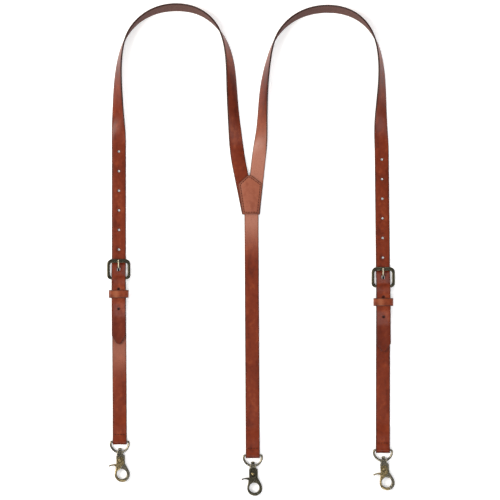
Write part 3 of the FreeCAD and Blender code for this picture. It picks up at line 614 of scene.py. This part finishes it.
# ---- yoke ----------------------------------------------------------------------------------
# Two five-sided patches of thinner, lighter leather with the three straps between them, sewn
# through close to the edge. The front one is pressed down along its stitching.
patch_top = 0.0262
patch_apex = 0.0039
shoulder_y = 0.017
patch_bottom = -0.015
shoulder_inset = {"left": 0.0026, "right": 0.0008}
bottom_inset = 0.0008
stitch_inset = 0.002
groove_w = 0.0006
# The last colour is the one given for painted sheen.
patch_leather = leather(
    "waxed yoke leather", shade(128, 70, 52), shade(142, 82, 62), shade(152, 94, 74),
    shade(158, 96, 72), seam=stitch_inset)


def outer_edge(side, y):
    """Where the outer edge of a front strap lies inside the yoke."""
    angle = math.radians(yoke_angle[side])
    way = -1 if side == "left" else 1
    middle = yoke_foot[side] - (y - yoke_bottom) * math.tan(angle)
    return middle + way * strap_width / 2 / math.cos(angle)


def patch_outline():
    apex = seam_x(patch_top)
    return [
        (apex - patch_apex / 2, patch_top),
        (outer_edge("left", shoulder_y) + shoulder_inset["left"], shoulder_y),
        (outer_edge("left", patch_bottom) + bottom_inset, patch_bottom),
        (outer_edge("right", patch_bottom) - bottom_inset, patch_bottom),
        (outer_edge("right", shoulder_y) - shoulder_inset["right"], shoulder_y),
        (apex + patch_apex / 2, patch_top),
    ]


def patch(low, groove, crown):
    """A patch with rounded corners and rims; returns it and the loop that the stitches follow."""
    bm = bmesh.new()
    face = bm.faces.new([bm.verts.new((x, y, low)) for x, y in patch_outline()])
    bmesh.ops.recalc_face_normals(bm, faces=[face])
    block = bmesh.ops.extrude_face_region(bm, geom=[face])["geom"]
    lifted = [g for g in block if isinstance(g, bmesh.types.BMVert)]
    bmesh.ops.translate(bm, vec=(0, 0, patch_t), verts=lifted)
    bmesh.ops.recalc_face_normals(bm, faces=bm.faces)
    top = max((f for f in bm.faces if f.normal.z > 0.9), key=lambda f: f.calc_area())
    rims = [e for e in bm.edges if abs(e.verts[0].co.z - e.verts[1].co.z) < patch_t / 2]
    upright = [e for e in bm.edges if e not in rims]
    loop = []
    for width, sink in (
            (stitch_inset - groove_w, 0), (groove_w, -groove), (groove_w, groove), (0.001, crown)):
        bmesh.ops.inset_region(bm, faces=[top], thickness=width, depth=sink, use_even_offset=True)
        if sink < 0:
            loop = [v.co.copy() for v in top.verts]
    bmesh.ops.bevel(
        bm, geom=upright, offset=0.0013, offset_type="OFFSET", segments=4, profile=0.5,
        affect="EDGES", material=-1)
    rims = [e for e in bm.edges if e.calc_face_angle(0) > 1.2]
    bmesh.ops.bevel(
        bm, geom=rims, offset=0.0003, offset_type="OFFSET", segments=3, profile=0.5,
        affect="EDGES", material=-1)
    outline = [Vector((x, y, 0)) for x, y in patch_outline()]
    place = bm.verts.layers.float_vector.new("lay")
    inward = bm.verts.layers.float.new("edge")
    for v in bm.verts:
        v[place] = (v.co.x + 0.3, v.co.y, v.co.z - low - patch_t / 2)
        spot = Vector((v.co.x, v.co.y, 0))
        gaps = []
        for a, b in zip(outline, outline[1:] + outline[:1]):
            gaps.append(abs((b - a).cross(spot - a).z) / (b - a).length)
        v[inward] = min(gaps)
    return bm, loop


patch_low = {"back": 0.0, "front": patch_t + strap_t}
for face in ("back", "front"):
    sunk = 0.00016 if face == "front" else 0.00005
    bm, loop = patch(patch_low[face], sunk, 0.00025 if face == "front" else 0.00001)
    node = "yoke_%s_patch" % face
    finished(bm, node + "_leather", patch_leather, "straps", "patch_leather", node)
yoke_loop = loop

# ---- stitching ------------------------------------------------------------------------------
# Waxed dark thread in a lock stitch, 2.2 mm showing and 0.55 mm buried: round the yoke patch,
# and in a short row across each strap where its folded end is sewn back.
thread_d = 0.0008
stitch_length = 0.0022
stitch_pitch = 0.00275
stitch_skew = 7
row_inset = 0.0015
row_margin = 0.001
ring_row = 0.0076
half = strap_width / 2


def thread_finish():
    material = bpy.data.materials.new("waxed dark thread")
    material.use_nodes = True
    tree = material.node_tree
    shader = tree.nodes["Principled BSDF"]
    place = put(tree, "ShaderNodeTexCoord").outputs["Object"]
    plies = put(
        tree, "ShaderNodeTexWave", {"Vector": place, "Scale": 900.0, "Distortion": 1.0},
        bands_direction="DIAGONAL").outputs["Fac"]
    worn = noise(tree, place, 300.0)
    colour = blend_colour(tree, plies, shade(22, 9, 7), shade(48, 21, 15))
    colour = blend_colour(tree, ramp(tree, worn, 0.5, 0.75, 0.0, 0.5), colour, shade(80, 40, 29))
    tree.links.new(colour, shader.inputs["Base Color"])
    tree.links.new(ramp(tree, worn, 0.3, 0.7, 0.45, 0.65), shader.inputs["Roughness"])
    bump = put(tree, "ShaderNodeBump", {"Strength": 0.6, "Distance": 0.00008, "Height": plies})
    tree.links.new(bump.outputs[0], shader.inputs["Normal"])
    shader.inputs["Specular IOR Level"].default_value = 0.15
    return material


def stitched(loop, closed):
    """Plump stitches along a line, each laid slightly askew as a lock stitch pulls it."""
    points = [Vector(p) for p in loop] + ([Vector(loop[0])] if closed else [])
    at = run_length(points)
    count = max(1, int(round(at[-1] / stitch_pitch)))
    bm = bmesh.new()
    for n in range(count):
        s = (n + 0.5) * at[-1] / count
        mid, ahead = [
            Vector([float(np.interp(t, at, [p[i] for p in points])) for i in range(3)])
            for t in (s, s + 0.0004)]
        along = (ahead - mid).normalized()
        turn = along.to_track_quat("X", "Z").to_matrix().to_4x4()
        turn = turn @ Matrix.Rotation(math.radians(stitch_skew), 4, "Z")
        size = Matrix.Diagonal((stitch_length / thread_d, 1, 0.8, 1))
        bmesh.ops.create_uvsphere(
            bm, u_segments=8, v_segments=6, radius=thread_d / 2,
            matrix=Matrix.Translation(mid) @ turn @ size)
    return bm


thread = thread_finish()
bm = stitched(yoke_loop, True)
finished(bm, "yoke_thread", thread, "straps", "thread", "yoke_stitching")
rows = []
for side in ("left", "right"):
    row_y = row_margin - keeper_flat
    rows.append((side + "_buckle_stitching", heel_frame(side), row_y, main_ply_z + strap_t))
rows.append(("back_hook_stitching", back_frame, ring_row, 2 * strap_t))
for side in ("left", "right"):
    place = heel_frame(side)
    reach = (place.to_translation().xy - Vector(ring_bar[side])).length
    rows.append((side + "_hook_stitching", place, ring_row - reach, 2 * strap_t))
for node, place, y, z in rows:
    row = [place @ Vector((x, y, z + thread_d * 0.2)) for x in (row_inset - half, half - row_inset)]
    name = node.replace("stitching", "thread")
    finished(stitched(row, False), name, thread, "straps", "thread", node)

# ---- keeper loops ---------------------------------------------------------------------------
# A narrow band of the same hide bent into a loop round the strap and its tail, and held by
# the folded end. It can be slid a little along the strap.
keeper_y = -0.0167
keeper_width = 0.0083
keeper_t = 0.0011
keeper_side = half + 0.0019 + keeper_t / 2
keeper_low = 0.0019 + keeper_t / 2
keeper_crown = 0.00045
keeper_high = 0.00855 - keeper_t / 2
# The last colour is the paler one used for painted highlight.
keeper_leather = leather(
    "waxed keeper leather", shade(92, 36, 18), shade(122, 54, 28), shade(146, 78, 50),
    shade(158, 96, 66))
for side in ("left", "right"):
    place = heel_frame(side)
    corners = [
        (0.00005, keeper_low), (keeper_side, keeper_low), (keeper_side, keeper_high),
        (0, keeper_high + keeper_crown), (-keeper_side, keeper_high), (-keeper_side, keeper_low),
        (-0.00005, keeper_low),
    ]
    line = eased([(x, keeper_y, z) for x, z in corners], 0.0019)
    bm = flat_strap(run_length(line)[-1], keeper_width, keeper_t, 0.0006)
    top_middle = run_length(line)[-1] / 2
    # A narrow band of painted highlight on the keeper's top, a little past its middle.
    mark(bm, lambda y: keeper_width / 2, bent=[(top_middle + 0.003, 0.003, 0.55)])
    carry(bm, [place @ p for p in line], broad=place.to_3x3() @ Vector((0, 1, 0)))
    finished(
        bm, side + "_keeper_band", keeper_leather, side + "_keeper_loop", "keeper_leather",
        side + "_keeper")

# ---- buckles, swivel rings and trigger hooks ---------------------------------------------------
# Zinc castings and brass wire with an antique plating, left dark in the hollows, with painted
# shade down the sides. Each hook turns on its ring, and a small spring shuts its gate.


def patina_group():
    """Antique plating: dark in hollows, painted shade on the flanks, rubbed bright where hands reach
    it.
    """
    group, given, gives = new_group(
        "antique plating",
        [("Place", "Vector"), ("Rubbed", "Float"), ("Sheltered", "Float"), ("Upward", "Float")],
        [("Dark", "Float"), ("Bright", "Float"), ("Relief", "Float"), ("Gloss loss", "Float")])
    cloud = noise(group, given["Place"], 260.0, 2.0, 0.5)
    specks = noise(group, given["Place"], 2600.0, 2.0, 0.6)
    brushed = put(group, "ShaderNodeMapping", {"Vector": given["Place"], "Scale": (1.0, 0.12, 1.0)})
    scratches = noise(group, brushed.outputs[0], 6500.0, 2.0, 0.7)
    dark = sums(group, "MAXIMUM", given["Sheltered"], ramp(group, cloud, 0.4, 0.7, 0.12, 0.0))
    # Painted shade: surfaces that face sideways are darkened.
    flank_shade = ramp(group, sums(group, "ABSOLUTE", given["Upward"]), 0.7, 0.99, 1.0, 0.0)
    dark = sums(group, "MAXIMUM", dark, flank_shade)
    group.links.new(sums(group, "MULTIPLY", dark, 0.9), gives["Dark"])
    worn = ramp(group, cloud, 0.3, 0.7, 0.4, 0.7)
    faces = sums(group, "MULTIPLY", sums(group, "SUBTRACT", 1.0, dark), worn)
    edges = sums(group, "MULTIPLY", given["Rubbed"], 0.1)
    bright = sums(group, "MAXIMUM", edges, sums(group, "MULTIPLY", faces, 0.45))
    group.links.new(bright, gives["Bright"])
    relief = sums(group, "MULTIPLY_ADD", scratches, 0.4, sums(group, "MULTIPLY", specks, 0.2))
    group.links.new(relief, gives["Relief"])
    dulled = sums(group, "MULTIPLY_ADD", specks, 0.2, sums(group, "MULTIPLY", dark, 0.4))
    group.links.new(dulled, gives["Gloss loss"])
    return group


plating = patina_group()


def metal(name, dark, body, bright, rough=0.19):
    material = bpy.data.materials.new(name)
    material.use_nodes = True
    tree = material.node_tree
    shader = tree.nodes["Principled BSDF"]
    place = put(tree, "ShaderNodeTexCoord").outputs["Object"]
    plain = put(tree, "ShaderNodeNewGeometry").outputs["Normal"]
    rounded = put(tree, "ShaderNodeBevel", {"Radius": 0.0006}, samples=4).outputs[0]
    match = put(
        tree, "ShaderNodeVectorMath", {0: plain, 1: rounded}, operation="DOT_PRODUCT").outputs["Value"]
    hollow = put(tree, "ShaderNodeAmbientOcclusion", {"Distance": 0.0022}, samples=16).outputs["AO"]
    finish = put(tree, "ShaderNodeGroup", node_tree=plating)
    tree.links.new(place, finish.inputs["Place"])
    facing = put(tree, "ShaderNodeTexCoord").outputs["Normal"]
    tree.links.new(put(tree, "ShaderNodeSeparateXYZ", {0: facing}).outputs[2], finish.inputs["Upward"])
    tree.links.new(ramp(tree, match, 0.9, 0.995, 1.0, 0.0), finish.inputs["Rubbed"])
    tree.links.new(ramp(tree, hollow, 0.45, 0.95, 1.0, 0.0), finish.inputs["Sheltered"])
    colour = blend_colour(tree, finish.outputs["Dark"], body, dark)
    colour = blend_colour(tree, finish.outputs["Bright"], colour, bright)
    tree.links.new(colour, shader.inputs["Base Color"])
    shader.inputs["Metallic"].default_value = 1.0
    dulled = ramp(tree, finish.outputs["Gloss loss"], 0.0, 0.8, rough, rough + 0.3)
    tree.links.new(dulled, shader.inputs["Roughness"])
    bump = put(
        tree, "ShaderNodeBump",
        {"Strength": 0.12, "Distance": 0.00004, "Height": finish.outputs["Relief"]})
    tree.links.new(bump.outputs[0], shader.inputs["Normal"])
    return material


antique_brass = metal("antique brass", shade(20, 18, 15), shade(110, 105, 92), shade(194, 186, 162))
dark_brass = metal(
    "antique brass, handled less", shade(15, 15, 13), shade(62, 59, 49), shade(132, 126, 103))
bright_brass = metal(
    "antique brass, rubbed by the thumb", shade(30, 24, 16), shade(156, 138, 98),
    shade(218, 198, 150))
spring_steel = metal("spring steel", shade(80, 78, 74), shade(170, 168, 162), shade(225, 224, 220), 0.2)
finishes = {
    "buckle_frame": dark_brass, "buckle_prong": antique_brass, "swivel_ring": antique_brass,
    "hook_body": antique_brass, "hook_lever": bright_brass, "hook_rivet": bright_brass,
    "hook_spring": spring_steel,
}
for node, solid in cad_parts.items():
    kind = node.split("_", 1)[1]
    if kind in finishes:
        solid.data.materials.clear()
        little_used = node in ("back_hook_body", "back_hook_lever")
        solid.data.materials.append(dark_brass if little_used else finishes[kind])

# ---- table, light and camera --------------------------------------------------------------------
# A plain white table under broad soft lights, seen from straight above.
frame_side = 0.530
camera_height = 3.0
frame_middle = (-0.00106, -0.053)


def floor_finish():
    material = bpy.data.materials.new("white table")
    material.use_nodes = True
    tree = material.node_tree
    place = put(tree, "ShaderNodeTexCoord").outputs["Object"]
    tone = noise(tree, place, 3.0, 2.0)
    colour = blend_colour(tree, tone, shade(244, 244, 244), shade(250, 250, 250))
    shader = tree.nodes["Principled BSDF"]
    tree.links.new(colour, shader.inputs["Base Color"])
    shader.inputs["Roughness"].default_value = 0.9
    shader.inputs["Specular IOR Level"].default_value = 0.1
    shader.inputs["Emission Color"].default_value = (1, 1, 1, 1)
    shader.inputs["Emission Strength"].default_value = 0.35
    return material


bm = bmesh.new()
below = Matrix.Translation((0, 0, -0.0001))
bmesh.ops.create_grid(bm, x_segments=1, y_segments=1, size=3.0, matrix=below)
mesh = bpy.data.meshes.new("table_top")
bm.to_mesh(mesh)
bm.free()
mesh.materials.append(floor_finish())
table = bpy.data.objects.new("table_top", mesh)
bpy.context.scene.collection.objects.link(table)


def soft_light(name, spot, aim, size, power, colour=(1, 1, 1)):
    lamp = bpy.data.lights.new(name, "AREA")
    lamp.shape = "DISK"
    lamp.size = size
    lamp.energy = power
    lamp.color = colour
    light = bpy.data.objects.new(name, lamp)
    light.location = spot
    light.rotation_euler = (Vector(aim) - Vector(spot)).to_track_quat("-Z", "Y").to_euler()
    bpy.context.scene.collection.objects.link(light)


soft_light("key", (-1.4, 0.15, 1.45), (0, 0, 0), 1.2, 42.0, (1, 0.94, 0.85))
soft_light("overhead", (0.03, 0.06, 1.7), (0, 0, 0), 0.4, 0.6)
soft_light("right_side", (1.6, -0.3, 1.2), (0, -0.05, 0), 1.2, 14.0)
soft_light("far_side", (0.2, 1.7, 1.1), (0, 0, 0), 1.0, 13.0)
soft_light("near_side", (0, -0.95, 1.6), (0, -0.1, 0), 0.7, 9.0)

world = bpy.data.worlds.new("soft room")
world.use_nodes = True
world.node_tree.nodes["Background"].inputs["Color"].default_value = (1, 1, 1, 1)
world.node_tree.nodes["Background"].inputs["Strength"].default_value = 0.16
bpy.context.scene.world = world

lens = bpy.data.cameras.new("camera")
lens.sensor_width = 36.0
lens.lens = lens.sensor_width * camera_height / frame_side
camera = bpy.data.objects.new("camera", lens)
camera.location = (*frame_middle, camera_height)
bpy.context.scene.collection.objects.link(camera)
bpy.context.scene.camera = camera
bpy.context.scene.view_settings.view_transform = "Standard"
